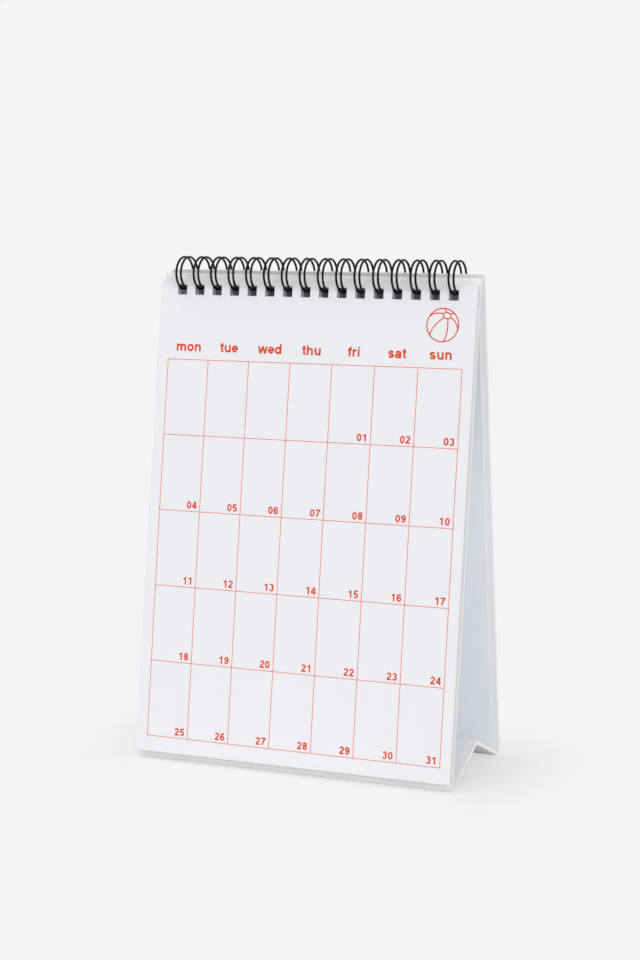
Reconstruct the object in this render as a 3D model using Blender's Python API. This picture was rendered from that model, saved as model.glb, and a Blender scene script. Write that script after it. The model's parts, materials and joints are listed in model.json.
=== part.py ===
"""Desk calendar: A5 month leaves on a black twin-loop wire, over a folded board stand.

The stand is one strip of four greyboards. A covering paper wraps them outside and turns in
over their edges, a lining paper covers them inside, and the strip folds at three creases into
an easel with a low ridge in its base. Sections are drawn in the Y-Z plane and run along X.
Metres, +Z up, the front faces -Y, and the origin is under the middle of the object.
"""

import math

import bmesh
import bpy
from mathutils import Vector

MM = 0.001

# Leaves
LEAF_WIDTH = 148.0 * MM
LEAF_HEIGHT = 210.0 * MM
LEAF_BLOCK_THICKNESS = 3.0 * MM
LEAF_LIFT = 3.3 * MM
LEAF_SEAT_GAP = 0.3 * MM
HOLE_WIDTH = 4.4 * MM
HOLE_HEIGHT = 4.5 * MM
HOLE_PLAY = 0.7 * MM

# Stand
STAND_INSET = 0.25 * MM
FRONT_LEAN = math.radians(8.4)
BASE_DEPTH = 66.9 * MM
FOLD_FLAT = 4.5 * MM
RIDGE_HEIGHT = 12.2 * MM
BOARD_RISE = 3.2 * MM
BACK_RISE = 1.0 * MM
TOP_GAP = 2.9 * MM

# Boards and papers
BOARD_THICKNESS = 1.0 * MM
WRAP_THICKNESS = 0.2 * MM
LINER_THICKNESS = 0.2 * MM
GLUE_LINE = 0.15 * MM
TURN_IN = 15.0 * MM
MITRE_SLIT = 0.3 * MM
LINER_INSET = 3.0 * MM
CREASE_GAP = 1.2 * MM
CREASE_RADIUS = 0.5 * MM
CREASE_STEPS = 3

# Binding wire
LOOP_COUNT = 16
LOOPS_PER_INCH = 3
INCH = 25.4 * MM
TWIN_SPACING = 2.24 * MM
WIRE_DIAMETER = 0.9 * MM
CLOSURE_GAP = 0.45 * MM
RING_HALF_DEPTH = 8.35 * MM
RING_HALF_HEIGHT = 7.05 * MM
SPINE_BEND = 1.1 * MM
RING_STEPS = 18
BEND_STEPS = 4

# Sizes that follow from the ones above
STAND_WIDTH = LEAF_WIDTH - 2 * STAND_INSET
LOOP_PITCH = INCH / LOOPS_PER_INCH
WIRE_RADIUS = WIRE_DIAMETER / 2
FRONT_LENGTH = LEAF_LIFT + LEAF_HEIGHT + BOARD_RISE
BACK_LENGTH = FRONT_LENGTH + BACK_RISE
CORE_DEPTH = WRAP_THICKNESS + GLUE_LINE
COVER_DEPTH = CORE_DEPTH + BOARD_THICKNESS
TURN_IN_LIFT = GLUE_LINE + WRAP_THICKNESS
LINER_LIFT = TURN_IN_LIFT + GLUE_LINE
STACK = COVER_DEPTH + LINER_LIFT + LINER_THICKNESS
LEAF_FRONT_DEPTH = -(LEAF_SEAT_GAP + LEAF_BLOCK_THICKNESS)


class Panel:
    """A flat length of the section: along runs up it, depth runs into the stand from its skin."""

    def __init__(self, heel, along, inward):
        self.heel = Vector(heel)
        self.along = Vector(along).normalized()
        self.inward = Vector(inward).normalized()

    def at(self, along, depth):
        return self.heel + self.along * along + self.inward * depth


def lay_out_stand():
    """Return the four panels of the strip: front, base front, base rear and back."""
    leaf_front = LEAF_LIFT * math.sin(FRONT_LEAN) + LEAF_FRONT_DEPTH * math.cos(FRONT_LEAN)
    front_y = -(BASE_DEPTH + leaf_front) / 2
    back_y = front_y + BASE_DEPTH
    reach = BASE_DEPTH - TOP_GAP - 2 * STACK
    back_lean = math.asin(reach / FRONT_LENGTH - math.sin(FRONT_LEAN))
    slope = math.atan2(RIDGE_HEIGHT, BASE_DEPTH / 2 - FOLD_FLAT)
    front = Panel(
        (front_y, 0),
        (math.sin(FRONT_LEAN), math.cos(FRONT_LEAN)),
        (math.cos(FRONT_LEAN), -math.sin(FRONT_LEAN)),
    )
    base_front = Panel(
        (front_y + FOLD_FLAT, 0),
        (math.cos(slope), math.sin(slope)),
        (-math.sin(slope), math.cos(slope)),
    )
    base_rear = Panel(
        (back_y - FOLD_FLAT, 0),
        (-math.cos(slope), math.sin(slope)),
        (math.sin(slope), math.cos(slope)),
    )
    back = Panel(
        (back_y, 0),
        (-math.sin(back_lean), math.cos(back_lean)),
        (-math.cos(back_lean), -math.sin(back_lean)),
    )
    return front, base_front, base_rear, back


FRONT, BASE_FRONT, BASE_REAR, BACK = lay_out_stand()
BASE_LENGTH = math.hypot(RIDGE_HEIGHT, BASE_DEPTH / 2 - FOLD_FLAT)
RING_CENTRE = FRONT.at(FRONT_LENGTH, 0)


def ring_point(angle):
    """Centre line of the oval ring that a closed loop makes, angle from +Y towards +Z."""
    offset = Vector((RING_HALF_DEPTH * math.cos(angle), RING_HALF_HEIGHT * math.sin(angle)))
    return RING_CENTRE + offset


def ring_tangent(angle):
    slope = Vector((-RING_HALF_DEPTH * math.sin(angle), RING_HALF_HEIGHT * math.cos(angle)))
    return slope.normalized()


def ring_crossing(panel, depth):
    """How far along the panel the ring's lower half passes, at this depth."""
    start = panel.at(0, depth) - RING_CENTRE
    a = (panel.along.x / RING_HALF_DEPTH) ** 2 + (panel.along.y / RING_HALF_HEIGHT) ** 2
    b = (
        start.x * panel.along.x / RING_HALF_DEPTH ** 2
        + start.y * panel.along.y / RING_HALF_HEIGHT ** 2
    )
    c = (start.x / RING_HALF_DEPTH) ** 2 + (start.y / RING_HALF_HEIGHT) ** 2 - 1
    return (-b - math.sqrt(b * b - a * c)) / a


def offset_path(path, distance):
    """A mitred copy of an open path, moved to the left of its run."""
    normals = []
    for first, second in zip(path, path[1:]):
        run = (second - first).normalized()
        normals.append(Vector((-run.y, run.x)))
    moved = [path[0] + normals[0] * distance]
    for point, before, after in zip(path[1:-1], normals, normals[1:]):
        moved.append(point + (before + after) * (distance / (1 + before.dot(after))))
    moved.append(path[-1] + normals[-1] * distance)
    return moved


def round_corners(path, radius, steps):
    """Replace every inner corner of an open path by a tangent arc."""
    rounded = [path[0]]
    for before, corner, after in zip(path, path[1:], path[2:]):
        into = (corner - before).normalized()
        away = (after - corner).normalized()
        turn = into.angle(away)
        side = math.copysign(1, into.x * away.y - into.y * away.x)
        normal = Vector((-into.y, into.x)) * side
        centre = corner - into * (radius * math.tan(turn / 2)) + normal * radius
        for step in range(steps + 1):
            swing = turn * step / steps
            arm = into * math.sin(swing) - normal * math.cos(swing)
            rounded.append(centre + arm * radius)
    rounded.append(path[-1])
    return rounded


def skin_path(trim):
    """Outside of the covering paper, from the front panel's top round to the back's."""
    corners = [
        FRONT.at(FRONT_LENGTH - trim, 0),
        FRONT.heel,
        BASE_FRONT.heel,
        BASE_FRONT.at(BASE_LENGTH, 0),
        BASE_REAR.heel,
        BACK.heel,
        BACK.at(BACK_LENGTH - trim, 0),
    ]
    return round_corners(corners, CREASE_RADIUS, CREASE_STEPS)


def crease_foot(panel):
    """Where a standing panel's inner board face comes down on the covering paper."""
    along = (WRAP_THICKNESS - panel.at(0, COVER_DEPTH).y) / panel.along.y
    return panel.at(along, COVER_DEPTH)


def board_path(trim):
    """Inner faces of the boards, pressed down to the covering paper in the outer creases."""
    slope = math.atan2(BASE_FRONT.along.y, BASE_FRONT.along.x)
    ridge_rise = COVER_DEPTH / math.cos(slope)
    return [
        FRONT.at(FRONT_LENGTH - trim, COVER_DEPTH),
        crease_foot(FRONT),
        BASE_FRONT.at(CREASE_GAP / 2, COVER_DEPTH),
        BASE_FRONT.at(BASE_LENGTH, 0) + Vector((0, ridge_rise)),
        BASE_REAR.at(CREASE_GAP / 2, COVER_DEPTH),
        crease_foot(BACK),
        BACK.at(BACK_LENGTH - trim, COVER_DEPTH),
    ]


def make_material(name, colour, roughness, metallic=0.0):
    material = bpy.data.materials.new(name)
    material.use_nodes = True
    shader = material.node_tree.nodes["Principled BSDF"]
    shader.inputs["Base Color"].default_value = (*colour, 1)
    shader.inputs["Roughness"].default_value = roughness
    shader.inputs["Metallic"].default_value = metallic
    return material


def add_object(name, data, material=None, location=(0, 0, 0)):
    item = bpy.data.objects.new(name, data)
    item.location = location
    bpy.context.collection.objects.link(item)
    if material:
        data.materials.append(material)
    return item


def add_prism(name, outline, width, material=None, location=(0, 0, 0)):
    """Extrude a Y-Z outline along X, centred, about an object origin at location."""
    mesh = bpy.data.meshes.new(name)
    shape = bmesh.new()
    corners = [shape.verts.new(Vector((-width / 2, p.x, p.y)) - Vector(location)) for p in outline]
    cap = shape.faces.new(corners)
    swept = bmesh.ops.extrude_face_region(shape, geom=[cap])
    moved = [v for v in swept["geom"] if isinstance(v, bmesh.types.BMVert)]
    bmesh.ops.translate(shape, verts=moved, vec=(width, 0, 0))
    bmesh.ops.recalc_face_normals(shape, faces=shape.faces)
    shape.to_mesh(mesh)
    shape.free()
    return add_object(name, mesh, material, location)


def hide_cutter(item):
    item.hide_render = True
    item.display_type = "WIRE"
    return item


def cut(item, *cutters):
    for cutter in cutters:
        modifier = item.modifiers.new(f"Cut {cutter.name}", "BOOLEAN")
        modifier.operation = "DIFFERENCE"
        modifier.object = cutter


def add_box(shape, corners):
    """A hexahedron from two opposite quads, each listed in the same turn."""
    verts = [shape.verts.new(corner) for corner in corners]
    near, far = verts[:4], verts[4:]
    shape.faces.new(near)
    shape.faces.new(reversed(far))
    for i in range(4):
        j = (i + 1) % 4
        shape.faces.new((near[j], near[i], far[i], far[j]))


def make_punch(name, panel, low, high, near, far):
    """One prong for each loop, square to the panel, from depth near to depth far."""
    mesh = bpy.data.meshes.new(name)
    shape = bmesh.new()
    for index in range(LOOP_COUNT):
        x = loop_x(index)
        corners = []
        for depth in (near, far):
            for side, along in ((-1, low), (1, low), (1, high), (-1, high)):
                p = panel.at(along, depth)
                corners.append((x + side * HOLE_WIDTH / 2, p.x, p.y))
        add_box(shape, corners)
    bmesh.ops.recalc_face_normals(shape, faces=shape.faces)
    shape.to_mesh(mesh)
    shape.free()
    return hide_cutter(add_object(name, mesh))


def make_mitre_knife(name, panel, length):
    """Diagonal slits that part the side and top turn-ins at the panel's two top corners."""
    mesh = bpy.data.meshes.new(name)
    shape = bmesh.new()
    near = COVER_DEPTH + GLUE_LINE / 2
    far = STACK
    lean = MITRE_SLIT / math.sqrt(2)
    for side in (-1, 1):
        corners = []
        for depth in (near, far):
            for along_in, across_in in (
                (-lean, 0), (0, -lean), (TURN_IN, TURN_IN - lean), (TURN_IN - lean, TURN_IN),
            ):
                p = panel.at(length - along_in, depth)
                corners.append((side * (STAND_WIDTH / 2 - across_in), p.x, p.y))
        add_box(shape, corners)
    bmesh.ops.recalc_face_normals(shape, faces=shape.faces)
    shape.to_mesh(mesh)
    shape.free()
    return hide_cutter(add_object(name, mesh))


def loop_x(index):
    return (index - (LOOP_COUNT - 1) / 2) * LOOP_PITCH


def add_board(name, panel, start, end, material):
    """Greyboard core of one panel, a glue line inside its covering paper."""
    outline = [
        panel.at(start, CORE_DEPTH),
        panel.at(end, CORE_DEPTH),
        panel.at(end, COVER_DEPTH),
        panel.at(start, COVER_DEPTH),
    ]
    return add_prism(name, outline, STAND_WIDTH - 2 * CORE_DEPTH, material)


def standing_start(panel):
    """Where a standing board's lower edge clears the paper that passes under it."""
    return (CORE_DEPTH - panel.at(0, COVER_DEPTH).y) / panel.along.y


def make_boards(material, front_punch, back_punch):
    front = add_board("front_board", FRONT, standing_start(FRONT), FRONT_LENGTH - CORE_DEPTH, material)
    back = add_board("back_board", BACK, standing_start(BACK), BACK_LENGTH - CORE_DEPTH, material)
    base_end = BASE_LENGTH - CREASE_GAP
    add_board("base_front_board", BASE_FRONT, CREASE_GAP, base_end, material)
    add_board("base_rear_board", BASE_REAR, CREASE_GAP, base_end, material)
    cut(front, front_punch)
    cut(back, back_punch)


def make_outer_wrap(material, front_punch, back_punch):
    """Covering paper: outside skin, edges and turn-ins left between the sheet's own cutters."""
    inside = offset_path(board_path(0), TURN_IN_LIFT)
    wrap = add_prism("outer_wrap", skin_path(0) + inside[::-1], STAND_WIDTH, material)

    skin_inside = offset_path(skin_path(WRAP_THICKNESS), WRAP_THICKNESS)
    turn_in_under = offset_path(board_path(WRAP_THICKNESS), GLUE_LINE)
    cavity = add_prism(
        "wrap_cavity", skin_inside + turn_in_under[::-1], STAND_WIDTH - 2 * WRAP_THICKNESS
    )
    window = add_prism(
        "turn_in_window", offset_path(board_path(TURN_IN), GLUE_LINE / 2), STAND_WIDTH - 2 * TURN_IN
    )
    cut(wrap, hide_cutter(cavity), hide_cutter(window))
    cut(wrap, make_mitre_knife("front_mitre", FRONT, FRONT_LENGTH))
    cut(wrap, make_mitre_knife("back_mitre", BACK, BACK_LENGTH))
    cut(wrap, front_punch, back_punch)


def make_inner_liner(material, front_punch, back_punch):
    """Lining paper over boards and turn-ins, cut back from every edge."""
    under = offset_path(board_path(LINER_INSET), LINER_LIFT)
    upper = offset_path(board_path(LINER_INSET), LINER_LIFT + LINER_THICKNESS)
    liner = add_prism("inner_liner", under + upper[::-1], STAND_WIDTH - 2 * LINER_INSET, material)
    cut(liner, front_punch, back_punch)


def make_leaf_block(material, front_punch):
    """The month leaves as one block, with its origin on the axis that the leaves turn about."""
    outline = [
        FRONT.at(LEAF_LIFT, LEAF_FRONT_DEPTH),
        FRONT.at(LEAF_LIFT + LEAF_HEIGHT, LEAF_FRONT_DEPTH),
        FRONT.at(LEAF_LIFT + LEAF_HEIGHT, -LEAF_SEAT_GAP),
        FRONT.at(LEAF_LIFT, -LEAF_SEAT_GAP),
    ]
    axis = (0, RING_CENTRE.x, RING_CENTRE.y)
    block = add_prism("leaf_block", outline, LEAF_WIDTH, material, axis)
    cut(block, front_punch)


def wire_route():
    """Points of the one wire: up each loop, round its tip, back, and along to the next."""
    bottom = ring_point(-math.pi / 2)
    front_face = FRONT.at((bottom.y - FRONT.at(0, STACK).y) / FRONT.along.y, STACK)
    spine_y = front_face.x + WIRE_RADIUS + CLOSURE_GAP
    tip_y = spine_y + WIRE_DIAMETER + CLOSURE_GAP
    half_twin = TWIN_SPACING / 2
    root = -math.acos((spine_y - SPINE_BEND - RING_CENTRE.x) / RING_HALF_DEPTH)
    tip = -math.acos((tip_y + half_twin - RING_CENTRE.x) / RING_HALF_DEPTH) - 2 * math.pi
    root_run = ring_tangent(root)
    tip_run = -ring_tangent(tip)
    quarter = [math.pi / 2 * step / BEND_STEPS for step in range(BEND_STEPS + 1)]

    def place(x, point):
        return Vector((x, point.x, point.y))

    def root_bend(x, side):
        return [
            place(
                x + side * SPINE_BEND * (1 - math.cos(bend)),
                ring_point(root) + root_run * (SPINE_BEND * math.sin(bend)),
            )
            for bend in quarter[1:]
        ]

    route = []
    for index in range(LOOP_COUNT):
        x = loop_x(index)
        arc = [root + (tip - root) * step / RING_STEPS for step in range(RING_STEPS + 1)]
        route += root_bend(x - half_twin, -1)[::-1]
        route += [place(x - half_twin, ring_point(angle)) for angle in arc]
        for step in range(1, BEND_STEPS):
            bend = math.pi * step / BEND_STEPS
            end = ring_point(tip) + tip_run * (half_twin * math.sin(bend))
            route.append(place(x - half_twin * math.cos(bend), end))
        route += [place(x + half_twin, ring_point(angle)) for angle in reversed(arc)]
        route += root_bend(x + half_twin, 1)
    return route


def make_binding_wire(material):
    curve = bpy.data.curves.new("binding_wire", "CURVE")
    curve.dimensions = "3D"
    curve.bevel_depth = WIRE_RADIUS
    curve.bevel_resolution = 1
    curve.use_fill_caps = True
    route = wire_route()
    spline = curve.splines.new("POLY")
    spline.points.add(len(route) - 1)
    for point, place in zip(spline.points, route):
        point.co = (*place, 1)
    add_object("binding_wire", curve, material)


def main():
    for item in list(bpy.data.objects):
        bpy.data.objects.remove(item)

    greyboard = make_material("Greyboard", (0.36, 0.34, 0.31), 0.9)
    cover_paper = make_material("Covering paper", (0.80, 0.80, 0.82), 0.6)
    lining_paper = make_material("Lining paper", (0.76, 0.77, 0.80), 0.65)
    leaf_paper = make_material("Leaf paper", (0.84, 0.83, 0.86), 0.55)
    black_wire = make_material("Black coated wire", (0.012, 0.012, 0.013), 0.35, 0.2)

    hole_top = ring_crossing(FRONT, LEAF_FRONT_DEPTH) + WIRE_RADIUS + HOLE_PLAY
    front_punch = make_punch(
        "front_punch", FRONT, hole_top - HOLE_HEIGHT, hole_top, 2 * LEAF_FRONT_DEPTH, 2 * STACK
    )
    back_middle = (ring_crossing(BACK, 0) + ring_crossing(BACK, STACK)) / 2
    back_punch = make_punch(
        "back_punch",
        BACK,
        back_middle - HOLE_HEIGHT / 2,
        back_middle + HOLE_HEIGHT / 2,
        -STACK,
        2 * STACK,
    )
    make_boards(greyboard, front_punch, back_punch)
    make_outer_wrap(cover_paper, front_punch, back_punch)
    make_inner_liner(lining_paper, front_punch, back_punch)
    make_leaf_block(leaf_paper, front_punch)
    make_binding_wire(black_wire)


main()
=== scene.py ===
"""Looks of a desk calendar: printed leaves on a black twin-loop wire over a folded board stand.

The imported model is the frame. Lengths are metres. On a page, across runs from the middle of the
sheet to the right, up runs from its lower edge, and lift stands out of the paper.
"""

import json
import logging
import math
import random
from collections.abc import Callable, Iterable, Sequence
from dataclasses import dataclass
from enum import Enum

import bmesh
import bpy
from mathutils import Euler, Matrix, Vector


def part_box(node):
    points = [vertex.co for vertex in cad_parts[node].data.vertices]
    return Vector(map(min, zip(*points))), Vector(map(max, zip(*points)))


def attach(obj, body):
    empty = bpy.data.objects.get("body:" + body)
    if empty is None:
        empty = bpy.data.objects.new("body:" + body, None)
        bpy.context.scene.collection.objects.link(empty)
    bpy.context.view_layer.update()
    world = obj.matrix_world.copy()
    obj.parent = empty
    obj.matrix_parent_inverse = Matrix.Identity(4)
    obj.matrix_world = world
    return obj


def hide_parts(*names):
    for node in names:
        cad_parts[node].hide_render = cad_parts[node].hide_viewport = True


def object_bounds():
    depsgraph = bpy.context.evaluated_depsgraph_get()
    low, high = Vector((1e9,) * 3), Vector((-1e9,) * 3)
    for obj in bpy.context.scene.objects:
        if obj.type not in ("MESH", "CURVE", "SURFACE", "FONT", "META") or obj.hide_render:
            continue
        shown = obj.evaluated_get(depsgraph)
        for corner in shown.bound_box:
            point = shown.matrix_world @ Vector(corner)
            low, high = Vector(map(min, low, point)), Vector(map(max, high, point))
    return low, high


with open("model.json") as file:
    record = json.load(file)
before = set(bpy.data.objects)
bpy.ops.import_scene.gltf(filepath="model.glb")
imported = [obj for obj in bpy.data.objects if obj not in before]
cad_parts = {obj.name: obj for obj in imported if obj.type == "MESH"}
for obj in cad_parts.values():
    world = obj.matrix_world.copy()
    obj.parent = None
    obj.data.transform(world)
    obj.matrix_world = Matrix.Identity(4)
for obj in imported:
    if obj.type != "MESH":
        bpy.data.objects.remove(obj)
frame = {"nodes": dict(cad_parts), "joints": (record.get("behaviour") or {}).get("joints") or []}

CAD_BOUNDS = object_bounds()
MM = 0.001
TINY = 0.001 * MM
PAGE_LEAN = math.radians(8.4)
STAND_BODY = "stand"
LEAF_BODY = "leaves"
LOG = logging.getLogger("desk_calendar")

Colour = tuple[float, float, float]


class Weekday(Enum):
    """Columns of the month, from the left, with the names that are printed over them."""

    MONDAY = "mon"
    TUESDAY = "tue"
    WEDNESDAY = "wed"
    THURSDAY = "thu"
    FRIDAY = "fri"
    SATURDAY = "sat"
    SUNDAY = "sun"


class Anchor(Enum):
    """Which point of a printed word is set down on the page, as a share of its length."""

    MIDDLE = 0.5
    RIGHT = 1.0


class LeafFace(Enum):
    """What a face of a leaf is, with its place among the leaf's finishes."""

    PAPER = 0
    CUT_EDGE = 1
    HOLE_WALL = 2


@dataclass(frozen=True)
class Grain:
    """A noise pattern: its features in a metre, its octaves of finer noise, and their weight."""

    scale: float
    detail: float
    roughness: float


@dataclass(frozen=True)
class ShadeTint:
    """A darker tone from one height up to another, which stands in for shade in a narrow gap."""

    low: float
    high: float
    colour: Colour

    def lay_over(
        self, tree: bpy.types.NodeTree, place: bpy.types.NodeSocket, paper: bpy.types.Node
    ) -> bpy.types.Node:
        """Mix the darker tone over a paper's own.

        Args:
            tree: The material's nodes.
            place: Socket with the coordinates.
            paper: The mix node that gives the paper's own tone.

        Returns:
            The mix node that gives both.
        """
        height = tree.nodes.new("ShaderNodeSeparateXYZ")
        tree.links.new(place, height.inputs["Vector"])
        share = tree.nodes.new("ShaderNodeMapRange")
        share.interpolation_type = "SMOOTHSTEP"
        share.inputs["From Min"].default_value = self.low
        share.inputs["From Max"].default_value = self.high
        tree.links.new(height.outputs["Z"], share.inputs["Value"])
        tone = add_mix(tree, share.outputs["Result"])
        tree.links.new(paper.outputs["Result"], tone.inputs["A"])
        tone.inputs["B"].default_value = (*self.colour, 1)
        return tone


@dataclass(frozen=True)
class PaperFinish:
    """Uncoated or covered paper: a faint cloudy tone, with fibres that only show in raking light."""

    name: str
    colour: Colour
    cloud_colour: Colour
    roughness: float
    clouds: Grain = Grain(60.0, 4.0, 0.6)
    fibres: Grain = Grain(1800.0, 3.0, 0.55)
    fibre_stretch: float = 3.0
    fibre_height: float = 0.004 * MM
    gloss: float = 0.3
    shades: tuple[ShadeTint, ...] = ()

    def make(self) -> bpy.types.Material:
        """Build the node material.

        Returns:
            The finished material.
        """
        material, tree, shader = start_material(self.name)
        place = add_coordinates(tree)
        clouds = add_noise(tree, place, self.clouds)
        tone = add_tones(tree, clouds.outputs["Fac"], self.colour, self.cloud_colour)
        for shade in self.shades:
            tone = shade.lay_over(tree, place, tone)
        tree.links.new(tone.outputs["Result"], shader.inputs["Base Color"])
        stretch = tree.nodes.new("ShaderNodeMapping")
        stretch.inputs["Scale"].default_value = (1, self.fibre_stretch, self.fibre_stretch)
        tree.links.new(place, stretch.inputs["Vector"])
        fibres = add_noise(tree, stretch.outputs["Vector"], self.fibres)
        add_bump(tree, shader, fibres.outputs["Fac"], self.fibre_height)
        shader.inputs["Roughness"].default_value = self.roughness
        shader.inputs["Specular IOR Level"].default_value = self.gloss
        return material


@dataclass(frozen=True)
class GreyboardFinish:
    """Recycled board: grey-brown pulp with darker flecks."""

    name: str
    colour: Colour
    fleck_colour: Colour
    roughness: float
    pulp: Grain = Grain(900.0, 5.0, 0.7)
    pulp_height: float = 0.03 * MM
    fleck_end: float = 0.32
    clear_start: float = 0.55

    def make(self) -> bpy.types.Material:
        """Build the node material.

        Returns:
            The finished material.
        """
        material, tree, shader = start_material(self.name)
        pulp = add_noise(tree, add_coordinates(tree), self.pulp)
        ramp = tree.nodes.new("ShaderNodeValToRGB")
        ramp.color_ramp.elements[0].position = self.fleck_end
        ramp.color_ramp.elements[0].color = (*self.fleck_colour, 1)
        ramp.color_ramp.elements[1].position = self.clear_start
        ramp.color_ramp.elements[1].color = (*self.colour, 1)
        tree.links.new(pulp.outputs["Fac"], ramp.inputs["Fac"])
        tree.links.new(ramp.outputs["Color"], shader.inputs["Base Color"])
        add_bump(tree, shader, pulp.outputs["Fac"], self.pulp_height)
        shader.inputs["Roughness"].default_value = self.roughness
        return material


@dataclass(frozen=True)
class InkFinish:
    """Flat printing ink, very slightly uneven where the paper shows through."""

    name: str
    colour: Colour
    thin_colour: Colour
    roughness: float
    grain: Grain = Grain(2600.0, 2.0, 0.5)
    gloss: float = 0.1

    def make(self) -> bpy.types.Material:
        """Build the node material.

        Returns:
            The finished material.
        """
        material, tree, shader = start_material(self.name)
        grain = add_noise(tree, add_coordinates(tree), self.grain)
        tone = add_tones(tree, grain.outputs["Fac"], self.colour, self.thin_colour)
        tree.links.new(tone.outputs["Result"], shader.inputs["Base Color"])
        shader.inputs["Roughness"].default_value = self.roughness
        shader.inputs["Specular IOR Level"].default_value = self.gloss
        return material


@dataclass(frozen=True)
class CoatedWireFinish:
    """Steel wire with a black nylon coat: satin, with a shallow ripple."""

    name: str
    colour: Colour
    worn_colour: Colour
    roughness: float
    ripple: Grain = Grain(700.0, 3.0, 0.5)
    ripple_height: float = 0.01 * MM
    gloss: float = 0.08

    def make(self) -> bpy.types.Material:
        """Build the node material.

        Returns:
            The finished material.
        """
        material, tree, shader = start_material(self.name)
        ripple = add_noise(tree, add_coordinates(tree), self.ripple)
        tone = add_tones(tree, ripple.outputs["Fac"], self.colour, self.worn_colour)
        tree.links.new(tone.outputs["Result"], shader.inputs["Base Color"])
        add_bump(tree, shader, ripple.outputs["Fac"], self.ripple_height)
        shader.inputs["Roughness"].default_value = self.roughness
        shader.inputs["Specular IOR Level"].default_value = self.gloss
        return material


def start_material(name: str) -> tuple[bpy.types.Material, bpy.types.NodeTree, bpy.types.Node]:
    """Make an empty node material.

    Args:
        name: What the finish is called.

    Returns:
        The material, its node tree and its shader.
    """
    material = bpy.data.materials.new(name)
    material.use_nodes = True
    tree = material.node_tree
    return material, tree, tree.nodes["Principled BSDF"]


def add_coordinates(tree: bpy.types.NodeTree) -> bpy.types.NodeSocket:
    """Return the socket of Object coordinates, which are metres in the frame."""
    return tree.nodes.new("ShaderNodeTexCoord").outputs["Object"]


def add_mix(tree: bpy.types.NodeTree, share: bpy.types.NodeSocket) -> bpy.types.Node:
    """Add a node that mixes two colours by the socket's value."""
    tone = tree.nodes.new("ShaderNodeMix")
    tone.data_type = "RGBA"
    tree.links.new(share, tone.inputs["Factor"])
    return tone


def add_tones(
    tree: bpy.types.NodeTree, share: bpy.types.NodeSocket, first: Colour, second: Colour
) -> bpy.types.Node:
    """Add a node that mixes two given colours.

    Args:
        tree: The nodes.
        share: Socket with the second colour's share.
        first: The first colour.
        second: The second colour.

    Returns:
        The mix node.
    """
    tone = add_mix(tree, share)
    tone.inputs["A"].default_value = (*first, 1)
    tone.inputs["B"].default_value = (*second, 1)
    return tone


def add_noise(
    tree: bpy.types.NodeTree, place: bpy.types.NodeSocket, grain: Grain
) -> bpy.types.Node:
    """Add a noise texture.

    Args:
        tree: The material's nodes.
        place: Socket with the coordinates.
        grain: How coarse and how rich it is.

    Returns:
        The texture node.
    """
    noise = tree.nodes.new("ShaderNodeTexNoise")
    noise.inputs["Scale"].default_value = grain.scale
    noise.inputs["Detail"].default_value = grain.detail
    noise.inputs["Roughness"].default_value = grain.roughness
    tree.links.new(place, noise.inputs["Vector"])
    return noise


def add_bump(
    tree: bpy.types.NodeTree,
    shader: bpy.types.Node,
    height: bpy.types.NodeSocket,
    distance: float,
) -> None:
    """Feed a height into the shader's normal.

    Args:
        tree: The material's nodes.
        shader: The surface shader.
        height: Socket with the height, 0 to 1.
        distance: Real height of the full range.
    """
    bump = tree.nodes.new("ShaderNodeBump")
    bump.inputs["Distance"].default_value = distance
    tree.links.new(height, bump.inputs["Height"])
    tree.links.new(bump.outputs["Normal"], shader.inputs["Normal"])


class Finishes:
    """Every finish of the calendar, made once."""

    def __init__(self) -> None:
        """Build the materials."""
        self.leaf_paper = PaperFinish(
            "Leaf paper", (0.825, 0.825, 0.862), (0.81, 0.81, 0.847), 0.55
        ).make()
        # The cut edges of the leaves get a darker warm grey: painted shade of the narrow gaps between
        # the stacked sheets.
        self.leaf_edge_painted_shade = PaperFinish(
            "Cut leaf edge painted shade", (0.72, 0.67, 0.64), (0.67, 0.62, 0.60), 0.8
        ).make()
        # The walls of the punched holes get a dark slate: painted shade of the packed, punched stack,
        # not the paper's own colour.
        self.hole_wall_painted_shade = PaperFinish(
            "Hole wall painted shade", (0.13, 0.135, 0.165), (0.10, 0.105, 0.13), 0.9
        ).make()
        self.cover_paper = PaperFinish(
            "Covering paper", (0.895, 0.89, 0.905), (0.88, 0.875, 0.89), 0.6
        ).make()
        self.lining_paper = PaperFinish(
            "Lining paper", (0.87, 0.885, 0.93), (0.855, 0.87, 0.915), 0.65,
            shades=(
                ShadeTint(0.110, 0.200, (0.70, 0.72, 0.77)),
                ShadeTint(0.199, 0.206, (0.30, 0.31, 0.39)),
            ),
        ).make()
        self.greyboard = GreyboardFinish(
            "Greyboard", (0.36, 0.33, 0.29), (0.20, 0.18, 0.16), 0.9
        ).make()
        self.ink = InkFinish("Orange ink", (0.76, 0.064, 0.009), (0.78, 0.085, 0.018), 0.5).make()
        self.black_wire = CoatedWireFinish(
            "Black coated wire", (0.003, 0.003, 0.0034), (0.006, 0.006, 0.0064), 0.38
        ).make()


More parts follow.
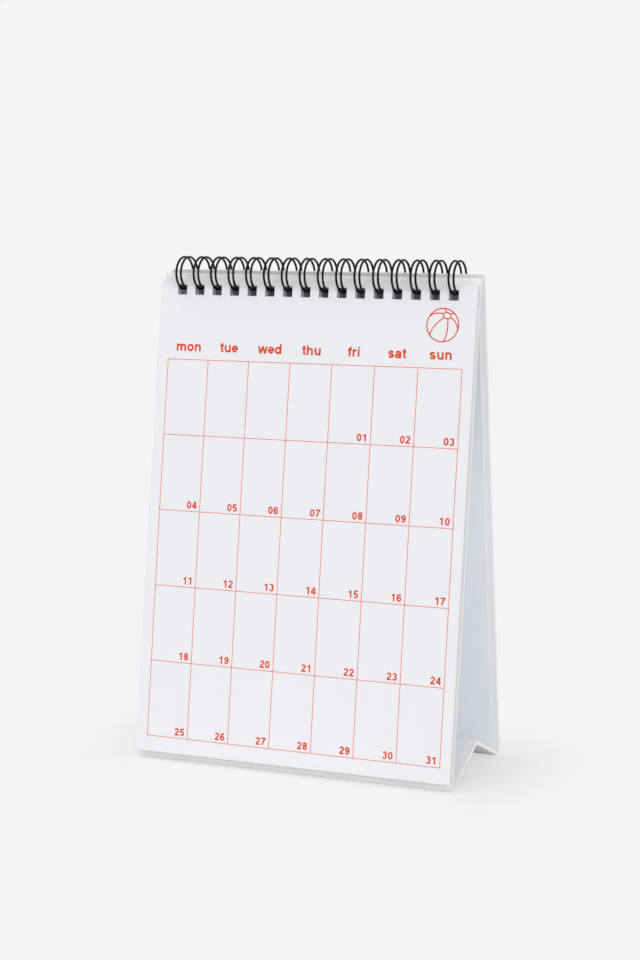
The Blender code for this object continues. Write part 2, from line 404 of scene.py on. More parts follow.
@dataclass(frozen=True)
class Page:
    """The front face of the leaves, as an origin at its lower middle and three directions."""

    origin: Vector
    across: Vector
    up: Vector
    out: Vector
    width: float
    height: float
    thickness: float

    @classmethod
    def from_block(cls, node: str, lean: float) -> "Page":
        """Find the page from the box round the leaning block of leaves.

        Args:
            node: The CAD node of the block.
            lean: How far the page leans back, in radians.

        Returns:
            The page.
        """
        low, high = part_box(node)
        sine, cosine = math.sin(lean), math.cos(lean)
        deep, tall = high[1] - low[1], high[2] - low[2]
        height = (tall * cosine - deep * sine) / (cosine * cosine - sine * sine)
        thickness = (deep - height * sine) / cosine
        origin = Vector(((low[0] + high[0]) / 2, low[1], low[2] + thickness * sine))
        return cls(
            origin,
            Vector((1, 0, 0)),
            Vector((0, sine, cosine)),
            Vector((0, -cosine, sine)),
            high[0] - low[0],
            height,
            thickness,
        )

    def matrix(self) -> Matrix:
        """Return the transform from page coordinates to the frame."""
        turned = Matrix((self.across, self.up, self.out)).transposed().to_4x4()
        return Matrix.Translation(self.origin) @ turned


def add_piece(
    name: str, shape: bmesh.types.BMesh, place: Matrix, *materials: bpy.types.Material
) -> bpy.types.Object:
    """Turn a finished bmesh into a piece whose place is in its mesh.

    Args:
        name: The piece's name.
        shape: The shape, which is freed.
        place: Transform to the frame.
        materials: Its finishes, in the order of the faces' material indices.

    Returns:
        The new object, at the origin.
    """
    bmesh.ops.transform(shape, matrix=place, verts=shape.verts)
    mesh = bpy.data.meshes.new(name)
    shape.to_mesh(mesh)
    shape.free()
    for material in materials:
        mesh.materials.append(material)
    piece = bpy.data.objects.new(name, mesh)
    bpy.context.collection.objects.link(piece)
    LOG.info("%s: %d faces", name, len(mesh.polygons))
    return piece


def take_mesh(maker: bpy.types.Object) -> bpy.types.Mesh:
    """Return the evaluated mesh of a curve object, and remove the object."""
    bpy.context.collection.objects.link(maker)
    graph = bpy.context.evaluated_depsgraph_get()
    mesh = bpy.data.meshes.new_from_object(maker.evaluated_get(graph))
    bpy.data.objects.remove(maker)
    return mesh


def lay_stroke(
    shape: bmesh.types.BMesh, line: Sequence[Vector], width: float, film: float
) -> None:
    """Add one flat stroke of ink to a shape.

    Args:
        shape: The film of ink, which stands on the page.
        line: The stroke's middle line on the page; it runs round where it ends as it starts.
        width: Width of the stroke.
        film: Thickness of the ink.
    """
    closed = (line[0] - line[-1]).length < TINY
    knots = line[:-1] if closed else line
    curve = bpy.data.curves.new("stroke", "CURVE")
    curve.dimensions = "3D"
    curve.bevel_depth = width / 2
    curve.bevel_resolution = 1
    curve.use_fill_caps = True
    spline = curve.splines.new("POLY")
    spline.points.add(len(knots) - 1)
    spline.use_cyclic_u = closed
    for point, place in zip(spline.points, knots):
        point.co = (place.x, place.y, 0, 1)
    mesh = take_mesh(bpy.data.objects.new("stroke", curve))
    old = set(shape.verts)
    shape.from_mesh(mesh)
    bpy.data.meshes.remove(mesh)
    new = [vert for vert in shape.verts if vert not in old]
    bmesh.ops.scale(shape, vec=(1, 1, film / width), verts=new)
    bmesh.ops.translate(shape, vec=(0, 0, film / 2), verts=new)


def cut_panel(
    low: Vector,
    high: Vector,
    cuts_across: Iterable[float],
    cuts_up: Iterable[float],
    dropped: Callable[[Vector], bool],
) -> bmesh.types.BMesh:
    """Cut a flat rectangle along straight lines and drop some of the cells.

    Args:
        low: Lower left corner, across and up.
        high: Upper right corner.
        cuts_across: Places of the cuts that run up.
        cuts_up: Places of the cuts that run across.
        dropped: Says whether the cell round a middle point is left out.

    Returns:
        The flat shape.
    """
    shape = bmesh.new()
    bmesh.ops.create_grid(shape, x_segments=1, y_segments=1, size=0.5)
    size = high - low
    bmesh.ops.scale(shape, vec=(size.x, size.y, 1), verts=shape.verts)
    bmesh.ops.translate(shape, vec=((low + high) / 2).to_3d(), verts=shape.verts)
    for place in cuts_across:
        bisect(shape, Vector((place, 0, 0)), Vector((1, 0, 0)))
    for place in cuts_up:
        bisect(shape, Vector((0, place, 0)), Vector((0, 1, 0)))
    gone = [face for face in shape.faces if dropped(face.calc_center_median())]
    bmesh.ops.delete(shape, geom=gone, context="FACES")
    return shape


def bisect(shape: bmesh.types.BMesh, point: Vector, normal: Vector) -> None:
    """Cut every face that a plane crosses."""
    geometry = [*shape.verts, *shape.edges, *shape.faces]
    bmesh.ops.bisect_plane(shape, geom=geometry, plane_co=point, plane_no=normal)


def thicken(shape: bmesh.types.BMesh, thickness: float) -> None:
    """Give a flat shape a back face at this depth, and walls between the two."""
    faces = list(shape.faces)
    grown = bmesh.ops.extrude_face_region(shape, geom=faces, use_keep_orig=True)
    moved = [item for item in grown["geom"] if isinstance(item, bmesh.types.BMVert)]
    bmesh.ops.translate(shape, vec=(0, 0, -thickness), verts=moved)
    bmesh.ops.recalc_face_normals(shape, faces=shape.faces)


@dataclass(frozen=True)
class Punching:
    """The row of square holes along the top of every leaf."""

    count: int = 16
    pitch: float = 25.4 / 3 * MM
    width: float = 4.4 * MM
    height: float = 4.5 * MM
    top_margin: float = 2.28 * MM

    def middle(self, index: int) -> float:
        """Return how far across the middle of one hole is."""
        return (index - (self.count - 1) / 2) * self.pitch

    def sides(self) -> list[float]:
        """Return the two sides of every hole, from the left."""
        half = self.width / 2
        return [self.middle(i) + side for i in range(self.count) for side in (-half, half)]

    def holds(self, point: Vector, page: Page) -> bool:
        """Say whether a point of the page lies in a hole."""
        top = page.height - self.top_margin
        if not top - self.height < point.y < top:
            return False
        return any(abs(point.x - self.middle(i)) < self.width / 2 for i in range(self.count))


@dataclass
class LeafPad:
    """The month leaves, one thin sheet behind the other, which bow a little off the board."""

    page: Page
    punching: Punching
    count: int = 12
    sheet_share: float = 0.7
    bow: float = 0.35 * MM
    bow_power: float = 1.5
    bow_rows: int = 14
    foot_gap: float = 0.75 * MM
    gap_power: float = 2.2
    jog: float = 0.12 * MM
    seed: int = 7

    def bow_at(self, up: float, share: float) -> float:
        """How far a sheet stands off its flat place.

        Args:
            up: Height on the page.
            share: 0 for the sheet on the board, 1 for the front one.

        Returns:
            The lift.
        """
        free = min(max(up / (self.page.height - self.punching.top_margin), 0.0), 1.0)
        return self.bow * share * math.sin(math.pi * free) ** self.bow_power

    def depth_at(self, up: float, index: int) -> float:
        """How deep a sheet's front face lies in the pad, which opens behind the front sheet.

        Args:
            up: Height on the page.
            index: 0 for the front leaf.

        Returns:
            The depth.
        """
        if index == 0:
            return 0.0
        gap = self.foot_gap * max(1 - up / self.page.height, 0.0) ** self.gap_power
        return gap + index * (self.page.thickness - gap) / self.count

    def lay_on_front(self, shape: bmesh.types.BMesh) -> None:
        """Lift flat print to the bowed surface of the front leaf."""
        for vert in shape.verts:
            vert.co.z += self.bow_at(vert.co.y, 1.0)

    def kind_of(self, face: bmesh.types.BMFace) -> LeafFace:
        """Say what a face of a flat leaf is."""
        if round(abs(face.normal.z)):
            return LeafFace.PAPER
        middle = face.calc_center_median()
        on_edge = abs(abs(middle.x) - self.page.width / 2) < TINY
        on_end = not TINY < middle.y < self.page.height - TINY
        return LeafFace.CUT_EDGE if on_edge or on_end else LeafFace.HOLE_WALL

    def sheet(self, index: int, jog: Vector) -> bmesh.types.BMesh:
        """Model one leaf in page coordinates.

        Args:
            index: 0 for the front leaf.
            jog: How far it is knocked out of line.

        Returns:
            The punched sheet.
        """
        half = self.page.width / 2
        top = self.page.height - self.punching.top_margin
        rows = [self.page.height * row / self.bow_rows for row in range(1, self.bow_rows)]
        shape = cut_panel(
            Vector((-half, 0)),
            Vector((half, self.page.height)),
            self.punching.sides(),
            [*rows, top - self.punching.height, top],
            lambda middle: self.punching.holds(middle, self.page),
        )
        thicken(shape, self.page.thickness / self.count * self.sheet_share)
        for face in shape.faces:
            face.material_index = self.kind_of(face).value
        share = 1 - index / (self.count - 1)
        for vert in shape.verts:
            vert.co.z += self.bow_at(vert.co.y, share) - self.depth_at(vert.co.y, index)
        bmesh.ops.translate(shape, vec=jog, verts=shape.verts)
        return shape

    def build(self, finishes: Finishes) -> None:
        """Make every leaf and let it ride on the leaves' body."""
        drawn = random.Random(self.seed)
        for index in range(self.count):
            jog = Vector((drawn.uniform(-1, 1), drawn.uniform(-1, 1), 0)) * self.jog
            if index == 0:
                jog = Vector((0, 0, 0))
            shape = self.sheet(index, jog)
            name = f"leaf_{index + 1:02d}"
            papers = (finishes.leaf_paper, finishes.leaf_edge_painted_shade, finishes.hole_wall_painted_shade)
            piece = add_piece(name, shape, self.page.matrix(), *papers)
            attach(piece, LEAF_BODY)
            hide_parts("leaf_block")


Stroke = tuple[tuple[float, float], ...]
STROKE_WIDTH = 0.148  # of the type's height
ARC_STEPS = 10


def arc(
    middle: tuple[float, float], reach: tuple[float, float], start: float, end: float
) -> Stroke:
    """Return points along part of an upright ellipse.

    Args:
        middle: Its middle.
        reach: Its half width and half height.
        start: First angle in degrees, from the right towards the top.
        end: Last angle.

    Returns:
        The points.
    """
    turns = [math.radians(start + (end - start) * step / ARC_STEPS)
             for step in range(ARC_STEPS + 1)]
    return tuple((middle[0] + reach[0] * math.cos(turn), middle[1] + reach[1] * math.sin(turn))
                 for turn in turns)


def oval(middle: tuple[float, float], reach: tuple[float, float]) -> Stroke:
    """Return a whole upright ellipse, which ends as it starts."""
    points = arc(middle, reach, 0, 180)[:-1] + arc(middle, reach, 180, 360)[:-1]
    return (*points, points[0])


@dataclass(frozen=True)
class Letter:
    """A letter or digit of plain bold type, drawn with strokes on a body one unit high."""

    advance: float
    strokes: tuple[Stroke, ...]


SIX = (
    oval((0.278, 0.225), (0.165, 0.1575)),
    ((0.113, 0.225), *arc((0.29, 0.355), (0.177, 0.2865), 180, 32)),
)
LETTERS = {
    "a": Letter(0.556, (
        (*arc((0.25, 0.355), (0.172, 0.1095), 165, 0), (0.422, 0)),
        oval((0.235, 0.17), (0.15, 0.105)),
    )),
    "d": Letter(0.611, (oval((0.28, 0.266), (0.18, 0.199)), ((0.48, 0), (0.48, 0.716)))),
    "e": Letter(0.556, (
        arc((0.28, 0.266), (0.187, 0.199), 0, 318),
        ((0.10, 0.255), (0.53, 0.255)),
    )),
    "f": Letter(0.333, (
        ((0.17, 0), *arc((0.31, 0.53), (0.14, 0.1245), 180, 92)),
        ((0.02, 0.475), (0.315, 0.475)),
    )),
    "h": Letter(0.611, (
        ((0.13, 0), (0.13, 0.716)),
        (*arc((0.3025, 0.30), (0.1725, 0.1645), 180, 0), (0.475, 0)),
    )),
    "i": Letter(0.278, (((0.139, 0), (0.139, 0.532)), ((0.139, 0.6), (0.139, 0.716)))),
    "m": Letter(0.889, (
        ((0.13, 0), (0.13, 0.532)),
        (*arc((0.287, 0.30), (0.157, 0.1645), 180, 0), (0.444, 0)),
        (*arc((0.602, 0.30), (0.157, 0.1645), 180, 0), (0.759, 0)),
    )),
    "n": Letter(0.611, (
        ((0.13, 0), (0.13, 0.532)),
        (*arc((0.3025, 0.30), (0.1725, 0.1645), 180, 0), (0.475, 0)),
    )),
    "o": Letter(0.611, (oval((0.3055, 0.266), (0.1975, 0.199)),)),
    "r": Letter(0.389, (
        ((0.13, 0), (0.13, 0.532)),
        arc((0.33, 0.27), (0.20, 0.1945), 180, 82),
    )),
    "s": Letter(0.556, (
        (*arc((0.27, 0.365), (0.152, 0.0995), 20, 270),
         *arc((0.275, 0.1665), (0.165, 0.099), 90, -160)[1:]),
    )),
    "t": Letter(0.333, (
        ((0.17, 0.68), *arc((0.28, 0.172), (0.11, 0.1045), 180, 285)),
        ((0.02, 0.475), (0.315, 0.475)),
    )),
    "u": Letter(0.611, (
        ((0.13, 0.532), *arc((0.3025, 0.232), (0.1725, 0.1645), 180, 360)),
        ((0.475, 0), (0.475, 0.532)),
    )),
    "w": Letter(0.778, (
        ((0.07, 0.532), (0.215, 0)),
        ((0.215, 0), (0.389, 0.532)),
        ((0.389, 0.532), (0.563, 0)),
        ((0.563, 0), (0.708, 0.532)),
    )),
    "0": Letter(0.556, (oval((0.278, 0.355), (0.165, 0.2865)),)),
    "1": Letter(0.556, (((0.33, 0), (0.33, 0.709)), ((0.10, 0.53), (0.33, 0.585)))),
    "2": Letter(0.556, (
        (*arc((0.278, 0.50), (0.165, 0.1415), 172, -28), (0.12, 0.10)),
        ((0.055, 0.0675), (0.50, 0.0675)),
    )),
    "3": Letter(0.556, (
        arc((0.27, 0.52), (0.145, 0.1215), 158, -90),
        arc((0.27, 0.2275), (0.167, 0.16), 90, -160),
    )),
    "4": Letter(0.556, (
        ((0.38, 0), (0.38, 0.709)),
        ((0.35, 0.67), (0.08, 0.20)),
        ((0.04, 0.20), (0.53, 0.20)),
    )),
    "5": Letter(0.556, (
        ((0.14, 0.6415), (0.48, 0.6415)),
        ((0.16, 0.66), (0.12, 0.32)),
        arc((0.275, 0.2325), (0.17, 0.165), 142, -152),
    )),
    "6": Letter(0.556, SIX),
    "7": Letter(0.556, (
        ((0.05, 0.6415), (0.51, 0.6415)),
        ((0.46, 0.62), (0.31, 0.38), (0.23, 0.17), (0.205, 0)),
    )),
    "8": Letter(0.556, (
        oval((0.278, 0.5225), (0.142, 0.119)),
        oval((0.278, 0.2075), (0.165, 0.14)),
    )),
    "9": Letter(0.556, tuple(
        tuple((0.556 - across, 0.709 - up) for across, up in stroke) for stroke in SIX
    )),
}


@dataclass
class PrintedMonth:
    """What is printed on the front leaf: the month's table, its names and numbers, and a ball."""

    page: Page
    pad: LeafPad
    table_left: float = -68.68 * MM
    table_foot: float = 6.84 * MM
    column: float = 19.68 * MM
    row: float = 33.53 * MM
    rows: int = 5
    line_width: float = 0.27 * MM
    film: float = 0.03 * MM
    proud: float = 0.02 * MM
    name_size: float = 5.95 * MM
    name_rise: float = 3.75 * MM
    number_size: float = 4.6 * MM
    number_inset: float = 1.4 * MM
    number_rise: float = 1.2 * MM
    first_column: int = 4
    days: int = 31
    line_cuts: int = 6

    def columns(self) -> int:
        """Return how many columns the table has."""
        return len(Weekday)

    def table_head(self) -> float:
        """Return the height of the table's top line."""
        return self.table_foot + self.rows * self.row

    def on_line(self, point: Vector) -> bool:
        """Say whether a point of the table lies on one of its lines."""
        across = (point.x - self.table_left) / self.column
        up = (point.y - self.table_foot) / self.row
        near_across = abs(across - round(across)) * self.column < self.line_width / 2
        near_up = abs(up - round(up)) * self.row < self.line_width / 2
        return near_across or near_up

    def table(self) -> bmesh.types.BMesh:
        """Model the table's lines as one film of ink."""
        half = self.line_width / 2
        right = self.table_left + self.columns() * self.column
        across = [self.table_left + self.column * i + side
                  for i in range(self.columns() + 1) for side in (-half, half)]
        up = [self.table_foot + self.row * i + side
              for i in range(self.rows + 1) for side in (-half, half)]
        between = [self.table_foot + self.row * (i + step / self.line_cuts)
                   for i in range(self.rows) for step in range(1, self.line_cuts)]
        shape = cut_panel(
            Vector((self.table_left - half, self.table_foot - half)),
            Vector((right + half, self.table_head() + half)),
            across[1:-1],
            sorted(up[1:-1] + between),
            lambda middle: not self.on_line(middle),
        )
        bmesh.ops.translate(shape, vec=(0, 0, self.proud), verts=shape.verts)
        thicken(shape, self.film)
        self.pad.lay_on_front(shape)
        return shape

    def word(self, shape: bmesh.types.BMesh, text: str, size: float, place: Vector,
             anchor: Anchor) -> None:
        """Add one printed word or number to a shape.

        Args:
            shape: The film of ink that takes the word.
            text: What it says.
            size: Height of the type.
            place: Where its anchor lies on the page.
            anchor: Which point of the word that is.
        """
        length = sum(LETTERS[letter].advance for letter in text)
        start = place.x - anchor.value * length * size
        for letter in text:
            for stroke in LETTERS[letter].strokes:
                line = [Vector((start + across * size, place.y + up * size))
                        for across, up in stroke]
                lay_stroke(shape, line, STROKE_WIDTH * size, self.film)
            start += LETTERS[letter].advance * size

    def ink(self, shape: bmesh.types.BMesh) -> bmesh.types.BMesh:
        """Lay lettering on the leaf, with its faces outwards."""
        bmesh.ops.recalc_face_normals(shape, faces=shape.faces)
        self.pad.lay_on_front(shape)
        return shape

    def names(self) -> bmesh.types.BMesh:
        """Model the weekday names over their columns."""
        shape = bmesh.new()
        for index, day in enumerate(Weekday):
            across = self.table_left + self.column * (index + 0.5)
            place = Vector((across, self.table_head() + self.name_rise))
            self.word(shape, day.value, self.name_size, place, Anchor.MIDDLE)
        return self.ink(shape)

    def numbers(self) -> bmesh.types.BMesh:
        """Model the day numbers in the lower right of their cells."""
        shape = bmesh.new()
        for day in range(1, self.days + 1):
            row, column = divmod(self.first_column + day - 1, self.columns())
            across = self.table_left + self.column * (column + 1) - self.number_inset
            up = self.table_head() - self.row * (row + 1) + self.number_rise
            self.word(shape, f"{day:02d}", self.number_size, Vector((across, up)), Anchor.RIGHT)
        return self.ink(shape)

    def build(self, finishes: Finishes) -> None:
        """Make each part of the print and let it ride with the leaves."""
        parts = {
            "month_table": self.table(),
            "weekday_names": self.names(),
            "day_numbers": self.numbers(),
        }
        for name, shape in parts.items():
            piece = add_piece(name, shape, self.page.matrix(), finishes.ink)
            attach(piece, LEAF_BODY)


@dataclass
class BallMark:
    """A small outline of a play ball, over the last column."""

    page: Page
    pad: LeafPad
    middle: tuple[float, float] = (59.3 * MM, 192.8 * MM)
    radius: float = 7.05 * MM
    stroke: float = 0.5 * MM
    film: float = 0.03 * MM
    pole_tilt: float = math.radians(50)
    pole_turn: float = math.radians(-24)
    gores: int = 6
    cap_angle: float = math.radians(14)
    arc_steps: int = 24
    rim_steps: int = 72

    def seen(self, point: Vector) -> Vector:
        """Turn a point of the unit ball to the way it is drawn, flat on the page."""
        turned = Euler((self.pole_tilt, 0, 0)).to_matrix() @ point
        turned = Euler((0, 0, self.pole_turn)).to_matrix() @ turned
        return turned

    def seams(self) -> list[list[Vector]]:
        """Return each drawn line of the ball that faces the reader, as points on the unit ball."""
        lines = []
        for gore in range(self.gores):
            turn = 2 * math.pi * gore / self.gores
            line = []
            for step in range(self.arc_steps + 1):
                down = self.cap_angle + (math.pi - self.cap_angle) * step / self.arc_steps
                point = Vector((
                    math.sin(down) * math.cos(turn), -math.cos(down), math.sin(down) * math.sin(turn)
                ))
                line.append(self.seen(-point))
            lines += front_runs(line)
        cap = []
        for step in range(2 * self.arc_steps + 1):
            turn = math.pi * step / self.arc_steps
            reach = math.sin(self.cap_angle)
            cap.append(self.seen(
                Vector((reach * math.cos(turn), math.cos(self.cap_angle), reach * math.sin(turn)))
            ))
        lines += front_runs(cap)
        return lines

    def rim(self) -> list[Vector]:
        """Return the ball's outline on the unit disc, which ends as it starts."""
        turns = [2 * math.pi * step / self.rim_steps for step in range(self.rim_steps)]
        points = [Vector((math.cos(turn), math.sin(turn), 0)) for turn in turns]
        return [*points, points[0]]

    def build(self, finishes: Finishes) -> None:
        """Make the mark and let it ride with the leaves."""
        shape = bmesh.new()
        for line in [self.rim(), *self.seams()]:
            placed = [point * self.radius for point in line]
            lay_stroke(shape, placed, self.stroke, self.film)
        bmesh.ops.translate(shape, vec=(*self.middle, 0), verts=shape.verts)
        self.pad.lay_on_front(shape)
        bmesh.ops.recalc_face_normals(shape, faces=shape.faces)
        piece = add_piece("ball_mark", shape, self.page.matrix(), finishes.ink)
        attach(piece, LEAF_BODY)


def front_runs(line: Sequence[Vector]) -> list[list[Vector]]:
    """Split a line on the unit ball into the runs that face the reader."""
    runs, run = [], []
    for point in line:
        if point.z >= 0:
            run.append(point)
        elif run:
            runs.append(run)
            run = []
    if run:
        runs.append(run)
    return [run for run in runs if len(run) > 1]


@dataclass
class TwinLoopWire:
    """One round wire, bent into closed twin loops that hang through leaves and boards."""

    page: Page
    centre: Vector
    punching: Punching
    half_depth: float = 8.35 * MM
    half_height: float = 7.05 * MM
    twin: float = 2.24 * MM
    diameter: float = 0.98 * MM
    closure: float = 0.45 * MM
    spine_bend: float = 1.1 * MM
    leaf_to_inside: float = 5.35 * MM
    ring_steps: int = 40
    bend_steps: int = 8
    roundness: int = 3

    def ring(self, angle: float) -> Vector:
        """Return a point of the closed oval, angle from +Y towards +Z."""
        return self.centre + Vector(
            (0, self.half_depth * math.cos(angle), self.half_height * math.sin(angle))
        )

    def tangent(self, angle: float) -> Vector:
        """Return the direction in which the oval runs at an angle."""
        slope = (0, -self.half_depth * math.sin(angle), self.half_height * math.cos(angle))
        return Vector(slope).normalized()

    def route(self) -> list[Vector]:
        """Return the wire's middle line: up each loop, round its tip, back, and on to the next."""
        bottom = self.ring(-math.pi / 2)
        inside = self.page.origin - self.page.out * self.leaf_to_inside
        rise = (bottom.z - inside.z) / self.page.up.z
        inner_y = inside.y + self.page.up.y * rise
        spine_y = inner_y + self.diameter / 2 + self.closure
        tip_y = spine_y + self.diameter + self.closure
        half = self.twin / 2
        root = -math.acos((spine_y - self.spine_bend - self.centre.y) / self.half_depth)
        tip = -math.acos((tip_y + half - self.centre.y) / self.half_depth) - 2 * math.pi
        arc = [root + (tip - root) * step / self.ring_steps for step in range(self.ring_steps + 1)]
        bends = [math.pi / 2 * step / self.bend_steps for step in range(1, self.bend_steps + 1)]
        root_run, tip_run = self.tangent(root), -self.tangent(tip)

        def foot(across: float, side: int) -> list[Vector]:
            """Bend one leg of a loop into the run to its neighbour."""
            return [
                self.ring(root) + root_run * (self.spine_bend * math.sin(bend))
                + Vector((across + side * self.spine_bend * (1 - math.cos(bend)), 0, 0))
                for bend in bends
            ]

        points: list[Vector] = []
        for index in range(self.punching.count):
            x = self.punching.middle(index)
            points += foot(x - half, -1)[::-1]
            points += [self.ring(angle) + Vector((x - half, 0, 0)) for angle in arc]
            for step in range(1, 2 * self.bend_steps):
                bend = math.pi * step / (2 * self.bend_steps)
                swing = tip_run * (half * math.sin(bend))
                points.append(self.ring(tip) + swing + Vector((x - half * math.cos(bend), 0, 0)))
            points += [self.ring(angle) + Vector((x + half, 0, 0)) for angle in reversed(arc)]
            points += foot(x + half, 1)
        return points

    def build(self, finishes: Finishes) -> None:
        """Make the wire and let it ride on the stand."""
        points = self.route()
        curve = bpy.data.curves.new("twin_loop_wire", "CURVE")
        curve.dimensions = "3D"
        curve.bevel_depth = self.diameter / 2
        curve.bevel_resolution = self.roundness
        curve.use_fill_caps = True
        spline = curve.splines.new("POLY")
        spline.points.add(len(points) - 1)
        for knot, point in zip(spline.points, points):
            knot.co = (*point, 1)
        mesh = take_mesh(bpy.data.objects.new("twin_loop_wire", curve))
        shape = bmesh.new()
        shape.from_mesh(mesh)
        bpy.data.meshes.remove(mesh)
        bmesh.ops.remove_doubles(shape, verts=shape.verts, dist=TINY)
        bmesh.ops.recalc_face_normals(shape, faces=shape.faces)
        piece = add_piece("twin_loop_wire", shape, Matrix(), finishes.black_wire)
        piece.data.shade_smooth()
        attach(piece, STAND_BODY)
        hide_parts("binding_wire")


@dataclass(frozen=True)
class Panel:
    """The outer face of one leg of the stand, from its fold on the table to its top.

    The origin and the two directions are in the plane of front to back and up.
    """

    name: str
    heel: tuple[float, float]
    along: tuple[float, float]
    inward: tuple[float, float]
    length: float

    def place(self, across: float, up: float, depth: float) -> Vector:
        """Return a point of the panel in the frame."""
        return Vector((
            across,
            self.heel[0] + self.along[0] * up + self.inward[0] * depth,
            self.heel[1] + self.along[1] * up + self.inward[1] * depth,
        ))


@dataclass
class BoardStand:
    """The easel's boards and papers, which keep their CAD shapes, with paper tucked in the mitres."""

    legs: tuple[Panel, ...] = (
        Panel("front", (-32.0587 * MM, 0), (0.1461, 0.9893), (0.9893, -0.1461), 216.5 * MM),
        Panel("back", (34.8413 * MM, 0), (-0.1306, 0.9914), (-0.9914, -0.1306), 217.5 * MM),
    )
    half_width: float = 73.73 * MM
    tuck_width: float = 0.62 * MM
    tuck_slant: float = 0.7
    tuck_clear: float = 0.03 * MM
    tuck_run: float = 3.1 * MM
    tuck_low: float = 1.44 * MM
    tuck_high: float = 1.73 * MM

    def tuck(self, leg: Panel, side: int) -> bmesh.types.BMesh:
        """Model the folded paper that shows in one mitre, from the corner to under the lining.

        Args:
            leg: The leg at whose top it lies.
            side: 1 for the right corner, -1 for the left.

        Returns:
            The closed strip, in the frame.
        """
        shape = bmesh.new()
        top = leg.length - self.tuck_clear
        step = self.tuck_width * self.tuck_slant
        run = self.tuck_run
        outline = (
            (self.half_width, top),
            (self.half_width - step, top),
            (self.half_width - step - run, top - run),
            (self.half_width - run, top - step - run),
            (self.half_width, top - step),
        )
        corners = [shape.verts.new(leg.place(side * across, up, self.tuck_low))
                   for across, up in outline]
        grown = bmesh.ops.extrude_face_region(shape, geom=[shape.faces.new(corners)])
        moved = [item for item in grown["geom"] if isinstance(item, bmesh.types.BMVert)]
        rise = leg.place(0, 0, self.tuck_high) - leg.place(0, 0, self.tuck_low)
        bmesh.ops.translate(shape, vec=rise, verts=moved)
        bmesh.ops.recalc_face_normals(shape, faces=shape.faces)
        return shape

    def build(self, finishes: Finishes) -> None:
        """Fill the four mitres at the tops of the legs, and dress the boards and papers."""
        for leg in self.legs:
            for side, hand in ((1, "right"), (-1, "left")):
                name = f"{leg.name}_{hand}_tuck"
                piece = add_piece(name, self.tuck(leg, side), Matrix(), finishes.cover_paper)
                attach(piece, STAND_BODY)
        self.dress(finishes)

    def dress(self, finishes: Finishes) -> None:
        """Give each node of the stand its finish."""
        wanted = {
            "front_board": finishes.greyboard,
            "back_board": finishes.greyboard,
            "base_front_board": finishes.greyboard,
            "base_rear_board": finishes.greyboard,
            "outer_wrap": finishes.cover_paper,
            "inner_liner": finishes.lining_paper,
        }
        for name, material in wanted.items():
            node = frame["nodes"][name]
            node.data.materials.clear()
            node.data.materials.append(material)
            LOG.info("%s: dressed", name)


@dataclass(frozen=True)
class SoftLamp:
    """A broad lamp far away: where it stands, how wide it looks, and its share of the light."""

    name: str
    towards: tuple[float, float, float]
    width: float
    share: float
    colour: Colour = (1.0, 1.0, 1.0)

    def hang(self) -> None:
        """Add the lamp, with its share as the light that a surface facing it gets."""
        lamp = bpy.data.lights.new(self.name, "SUN")
        lamp.energy = self.share * math.pi
        lamp.angle = self.width
        lamp.color = self.colour
        item = bpy.data.objects.new(self.name, lamp)
        item.rotation_euler = Vector(self.towards).to_track_quat("Z", "Y").to_euler()
        bpy.context.collection.objects.link(item)


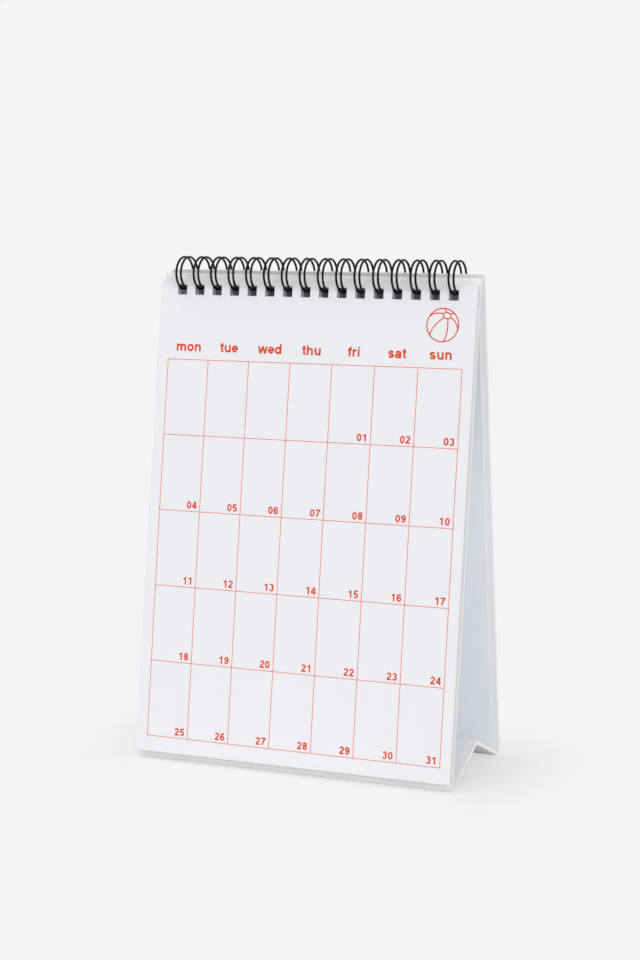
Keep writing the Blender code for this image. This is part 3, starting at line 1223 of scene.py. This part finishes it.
@dataclass
class Studio:
    """A pale seamless floor under even light, with painted shade round the stand, and a soft lamp on
    either side of the camera.
    """

    background: float = 0.905
    floor_tone: float = 0.80
    # Near the stand the floor shows less of its plain tone and more of its darker diffuse tone:
    # painted shade round the footprint.
    near_glow: float = 0.60
    far_glow: float = 0.92
    glow_reach: float = 0.05
    ambient: float = 0.40
    lamps: tuple[SoftLamp, ...] = (
        SoftLamp("Upper left", (-0.24, -0.10, 1.0), math.radians(42), 0.46),
        SoftLamp("Low right", (0.80, -0.75, 0.26), math.radians(55), 0.62),
    )
    floor_radius: float = 60.0
    floor_sides: int = 64
    eye: tuple[float, float, float] = (0.3495, -0.8357, 0.2536)
    yaw: float = math.radians(22.667)
    pitch: float = math.radians(8.114)
    lens: float = 78.03

    def seen_directly(self, tree: bpy.types.NodeTree) -> bpy.types.NodeSocket:
        """Return a socket that is 1 for what the camera, a gloss or a glass looks at."""
        path = tree.nodes.new("ShaderNodeLightPath")
        seen = path.outputs["Is Camera Ray"]
        for ray in ("Is Glossy Ray", "Is Transmission Ray"):
            either = tree.nodes.new("ShaderNodeMath")
            either.operation = "MAXIMUM"
            tree.links.new(seen, either.inputs[0])
            tree.links.new(path.outputs[ray], either.inputs[1])
            seen = either.outputs[0]
        return seen

    def clearance(self, tree: bpy.types.NodeTree) -> bpy.types.NodeSocket:
        """Return a socket with the floor's distance from the stand's footprint."""
        size = tree.nodes.new("ShaderNodeVectorMath")
        size.operation = "ABSOLUTE"
        tree.links.new(add_coordinates(tree), size.inputs[0])
        beyond = tree.nodes.new("ShaderNodeVectorMath")
        beyond.operation = "SUBTRACT"
        beyond.inputs[1].default_value = (*CAD_BOUNDS[1][:2], 0)
        tree.links.new(size.outputs[0], beyond.inputs[0])
        outside = tree.nodes.new("ShaderNodeVectorMath")
        outside.operation = "MAXIMUM"
        tree.links.new(beyond.outputs[0], outside.inputs[0])
        length = tree.nodes.new("ShaderNodeVectorMath")
        length.operation = "LENGTH"
        tree.links.new(outside.outputs[0], length.inputs[0])
        return length.outputs["Value"]

    def plain_share(self, tree: bpy.types.NodeTree) -> bpy.types.NodeSocket:
        """Return a socket with the plain tone's share of the floor, less so near the stand, where the
        floor's darker diffuse tone then shows as painted shade.
        """
        glow = tree.nodes.new("ShaderNodeMapRange")
        glow.interpolation_type = "SMOOTHSTEP"
        glow.inputs["From Max"].default_value = self.glow_reach
        glow.inputs["To Min"].default_value = self.near_glow
        glow.inputs["To Max"].default_value = self.far_glow
        tree.links.new(self.clearance(tree), glow.inputs["Value"])
        share = tree.nodes.new("ShaderNodeMath")
        share.operation = "MULTIPLY"
        tree.links.new(glow.outputs["Result"], share.inputs[1])
        tree.links.new(self.seen_directly(tree), share.inputs[0])
        return share.outputs[0]

    def floor(self) -> None:
        """Lay the floor, which takes the shadow and is partly drawn at its plain tone; near the stand
        less so, which paints shade there.
        """
        shape = bmesh.new()
        bmesh.ops.create_circle(
            shape, cap_ends=True, segments=self.floor_sides, radius=self.floor_radius
        )
        material, tree, shader = start_material("Pale floor")
        shader.inputs["Base Color"].default_value = (self.floor_tone,) * 3 + (1,)
        shader.inputs["Roughness"].default_value = 1.0
        shader.inputs["Specular IOR Level"].default_value = 0.0
        plain = tree.nodes.new("ShaderNodeEmission")
        rest = (self.background - (1 - self.far_glow) * self.floor_tone) / self.far_glow
        plain.inputs["Color"].default_value = (rest,) * 3 + (1,)
        mix = tree.nodes.new("ShaderNodeMixShader")
        tree.links.new(self.plain_share(tree), mix.inputs["Fac"])
        tree.links.new(shader.outputs[0], mix.inputs[1])
        tree.links.new(plain.outputs[0], mix.inputs[2])
        tree.links.new(mix.outputs[0], tree.nodes["Material Output"].inputs["Surface"])
        piece = add_piece("floor", shape, Matrix(), material)

    def world(self) -> None:
        """Light the scene evenly, and show the floor's tone behind it."""
        world = bpy.data.worlds.new("Studio")
        bpy.context.scene.world = world
        world.use_nodes = True
        tree = world.node_tree
        light, seen = (self.ambient,) * 3, (self.background,) * 3
        tone = add_tones(tree, self.seen_directly(tree), light, seen)
        tree.links.new(tone.outputs["Result"], tree.nodes["Background"].inputs["Color"])

    def camera(self) -> None:
        """Set the camera at the photograph's view."""
        data = bpy.data.cameras.new("Camera")
        data.lens = self.lens
        data.clip_end = 2 * self.floor_radius
        item = bpy.data.objects.new("Camera", data)
        item.location = self.eye
        item.rotation_euler = (math.pi / 2 - self.pitch, 0, self.yaw)
        bpy.context.collection.objects.link(item)
        bpy.context.scene.camera = item

    def build(self) -> None:
        """Set up the whole studio."""
        self.floor()
        self.world()
        for lamp in self.lamps:
            lamp.hang()
        self.camera()
        bpy.context.scene.view_settings.view_transform = "Standard"


def write_sizes() -> None:
    """Bring the scene's evaluated state up to date."""
    bpy.context.view_layer.update()


def main() -> None:
    """Build the calendar's looks round the frame."""
    logging.basicConfig(level=logging.INFO, format="%(message)s")
    finishes = Finishes()
    page = Page.from_block("leaf_block", PAGE_LEAN)
    punching = Punching()
    pad = LeafPad(page, punching)
    pad.build(finishes)
    PrintedMonth(page, pad).build(finishes)
    BallMark(page, pad).build(finishes)
    turning_axis = Vector(frame["joints"][0]["pos_m"])
    TwinLoopWire(page, turning_axis, punching).build(finishes)
    BoardStand().build(finishes)
    Studio().build()
    write_sizes()


if __name__ == "__main__":
    main()
